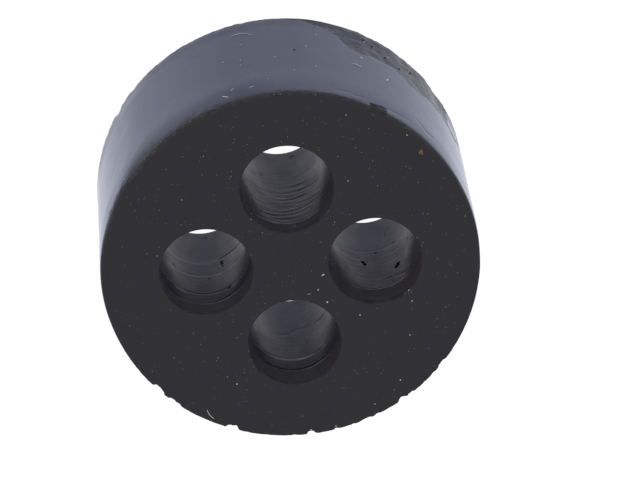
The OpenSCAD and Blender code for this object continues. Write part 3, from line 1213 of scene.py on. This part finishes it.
def new_material(name):
    """A material with an empty node tree and its output node."""
    material = bpy.data.materials.new(name)
    material.use_nodes = True
    tree = material.node_tree
    tree.nodes.clear()
    return material, tree, tree.nodes.new("ShaderNodeOutputMaterial")


def colour(r, g, b):
    """A linear colour with full opacity."""
    return (r, g, b, 1.0)


def blend_colours(tree, share, first, second):
    """A mix of two colours."""
    feeds = {"Factor": share, "i6": colour(*first), "i7": colour(*second)}
    return put(tree, "ShaderNodeMix", {"data_type": "RGBA"}, **feeds).outputs[2]


def object_noise(tree, size_mm, detail, stretch=EVEN):
    """Noise on Object coordinates, with grains of that size."""
    place = put(tree, "ShaderNodeTexCoord").outputs["Object"]
    scaled = put(tree, "ShaderNodeMapping", Vector=place, Scale=stretch).outputs[0]
    grains = put(tree, "ShaderNodeTexNoise", Vector=scaled, Scale=1 / (size_mm * MM), Detail=detail)
    return grains.outputs["Fac"]


def bumped(tree, height, depth_mm, under=None):
    """A normal bent by a height between 0 and 1 that stands for that depth."""
    feeds = {"Height": height, "Distance": depth_mm * MM, "Strength": 1.0}
    if under is not None:
        feeds["Normal"] = under
    return put(tree, "ShaderNodeBump", **feeds).outputs[0]


def rubber(name, dark, light, dull, clouds, bumps, **look):
    """A skin of the rubber: two tones and a roughness that follow clouds, over bumps."""
    material, tree, output = new_material(name)
    cloud_mm, cloud_stretch = clouds
    cloudy = object_noise(tree, cloud_mm, 4.0, cloud_stretch)
    normal = None
    for bump_mm, depth_mm, bump_stretch in bumps:
        normal = bumped(tree, object_noise(tree, bump_mm, 3.0, bump_stretch), depth_mm, normal)
    shader = put(
        tree,
        "ShaderNodeBsdfPrincipled",
        Base_Color=blend_colours(tree, span(tree, cloudy, 0.3, 0.7, 0, 1), dark, light),
        Roughness=span(tree, cloudy, 0.3, 0.7, *dull),
        Normal=normal,
        **look,
    )
    tree.links.new(shader.outputs[0], output.inputs[0])
    return material


def make_finishes():
    """All the finishes of the one rubber, by name."""
    return {key: rubber("rubber_" + key, **look) for key, look in RUBBER_LOOKS.items()}


def plain_dirt(name, dark, light, size_mm):
    """A dull material for dust, lint, grit and the painted pit shade, mottled between two tones."""
    material, tree, output = new_material(name)
    spots = span(tree, object_noise(tree, size_mm, 2.0), 0.35, 0.65, 0, 1)
    tone = blend_colours(tree, spots, dark, light)
    shader = put(tree, "ShaderNodeBsdfPrincipled", Base_Color=tone, Roughness=0.85, Specular_IOR_Level=0.2)
    tree.links.new(shader.outputs[0], output.inputs[0])
    return material


def seen_rays(tree):
    """1 for what the camera, mirror images and clear bodies see, 0 for plain lighting."""
    path = put(tree, "ShaderNodeLightPath").outputs
    some = maths(tree, "MAXIMUM", path["Is Camera Ray"], path["Is Glossy Ray"])
    return maths(tree, "MAXIMUM", some, path["Is Transmission Ray"])


def make_floor():
    """A wide white floor that keeps the plug's soft shadow."""
    material, tree, output = new_material("white_floor")
    pale = put(tree, "ShaderNodeBsdfDiffuse", Color=colour(0.8, 0.8, 0.8)).outputs[0]
    faint = put(tree, "ShaderNodeBsdfDiffuse", Color=colour(FLOOR_SHADE, FLOOR_SHADE, FLOOR_SHADE))
    glow = put(tree, "ShaderNodeEmission", Strength=FLOOR_GLOW)
    bright = put(tree, "ShaderNodeAddShader", i0=faint.outputs[0], i1=glow.outputs[0]).outputs[0]
    either = put(tree, "ShaderNodeMixShader", i0=seen_rays(tree), i1=pale, i2=bright)
    tree.links.new(either.outputs[0], output.inputs[0])
    half = FLOOR_HALF_MM
    corners = [(-half, -half, 0), (half, -half, 0), (half, half, 0), (-half, half, 0)]
    floor = mesh_object("floor", corners, (), [(0, 1, 2, 3)])
    floor.data.materials.append(material)


def light_world():
    """Even white surroundings: full white to the eye, softer as a light."""
    world = bpy.data.worlds.new("white_surroundings")
    bpy.context.scene.world = world
    world.use_nodes = True
    tree = world.node_tree
    tree.nodes.clear()
    output = tree.nodes.new("ShaderNodeOutputWorld")
    level = span(tree, seen_rays(tree), 0, 1, SKY_LIGHT, SEEN_WHITE)
    background = put(tree, "ShaderNodeBackground", Strength=level)
    tree.links.new(background.outputs[0], output.inputs[0])


def softbox(name, place):
    """A square area lamp that looks at the plug."""
    lamp = bpy.data.lights.new(name, "AREA")
    lamp.energy = LAMP_WATTS
    lamp.size = LAMP_WIDTH
    made = bpy.data.objects.new(name, lamp)
    made.location = place
    made.rotation_euler = (-Vector(place)).to_track_quat("-Z", "Y").to_euler()
    bpy.context.scene.collection.objects.link(made)


def make_camera():
    """The camera of the photograph."""
    lens = bpy.data.cameras.new("camera")
    lens.lens = CAMERA_LENS_MM
    lens.sensor_width = CAMERA_SENSOR_MM
    lens.clip_start = 0.01
    camera = bpy.data.objects.new("camera", lens)
    camera.location = Vector(CAMERA_PLACE_MM) * MM
    camera.rotation_euler = Euler([math.radians(a) for a in CAMERA_TURN_DEG])
    bpy.context.scene.collection.objects.link(camera)
    bpy.context.scene.camera = camera


def keep_inside(piece, box):
    """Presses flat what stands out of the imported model's box."""
    low, high = np.array(box) / MM
    set_mesh_points(piece.data, np.clip(mesh_points(piece.data), low + BOX_GAP, high - BOX_GAP))


def attach(piece, box):
    """Keeps a piece inside the imported model's box, and ties it to the insert's one body."""
    keep_inside(piece, box)
    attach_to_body(piece, "root")


def box_lists():
    """The shown object's box as plain lists."""
    return [list(corner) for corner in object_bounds()]


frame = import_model()
cad_box = box_lists()
bpy.context.scene.view_settings.view_transform = "Standard"
make_camera()
light_world()
make_floor()
softbox("softbox_right", (1.0, 0.25, 1.0))
softbox("softbox_left", (-1.0, 0.25, 1.0))

sizes = read_sizes(frame)
finishes = make_finishes()
plug = make_moulding(sizes, finishes)
wear_plug(plug, sizes, finishes)
attach(plug, cad_box)
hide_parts("sealing_insert")
for piece in scatter_dirt(plug, sizes):
    attach(piece, cad_box)
